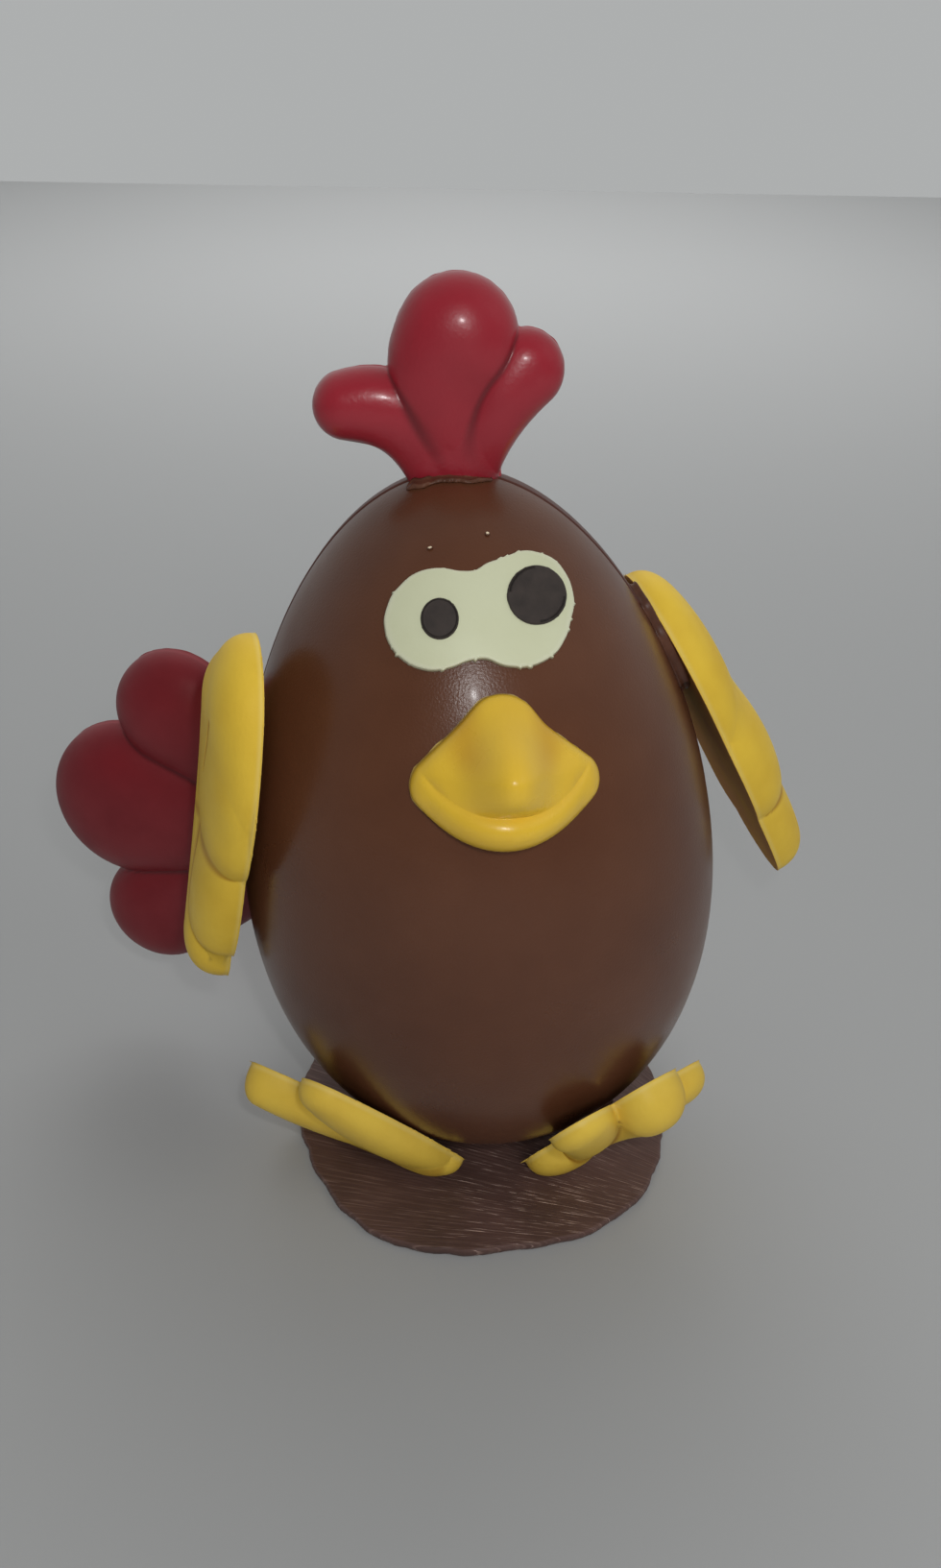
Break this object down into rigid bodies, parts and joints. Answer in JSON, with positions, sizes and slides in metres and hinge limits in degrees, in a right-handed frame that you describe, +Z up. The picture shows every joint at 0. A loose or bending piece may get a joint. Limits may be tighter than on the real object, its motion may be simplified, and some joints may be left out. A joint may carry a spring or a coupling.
{
  "type": "moulded chocolate egg chick",
  "caption": "Moulded chocolate egg standing on a poured chocolate disc, dressed as a chick with a red comb and tail, yellow wings, feet and beak, and a white eye plate with dark pupils.",
  "frame": {"origin": "centre of the underside of the poured disc", "axes": "+Z up, the face looks along -Y, +X is the side of the right-hand wing as seen from the front"},
  "size_m": [0.2085, 0.1219, 0.2219],
  "materials": {
    "egg_shell": "glossy tempered milk chocolate",
    "disc": "scratched matt chocolate",
    "comb_red": "satin red chocolate",
    "tail_red": "satin dark red chocolate",
    "wing_yellow": "satin yellow chocolate",
    "foot_yellow": "satin yellow chocolate",
    "beak_yellow": "glossy yellow chocolate",
    "eye_white": "satin cream-white chocolate",
    "pupil": "matt dark chocolate",
    "weld": "melted chocolate"
  },
  "bodies": {
    "root": {"egg": "egg_shell", "base_disc": "disc", "comb": "comb_red", "comb_weld": "weld", "tail": "tail_red", "wing_left": "wing_yellow", "wing_right": "wing_yellow", "glue_wing_left": "weld", "glue_wing_right": "weld", "foot_left": "foot_yellow", "foot_right": "foot_yellow", "glue_foot_left": "weld", "glue_foot_right": "weld", "beak": "beak_yellow", "eye_plate": "eye_white", "pupil_left": "pupil", "pupil_right": "pupil"}
  },
  "joints": []
}
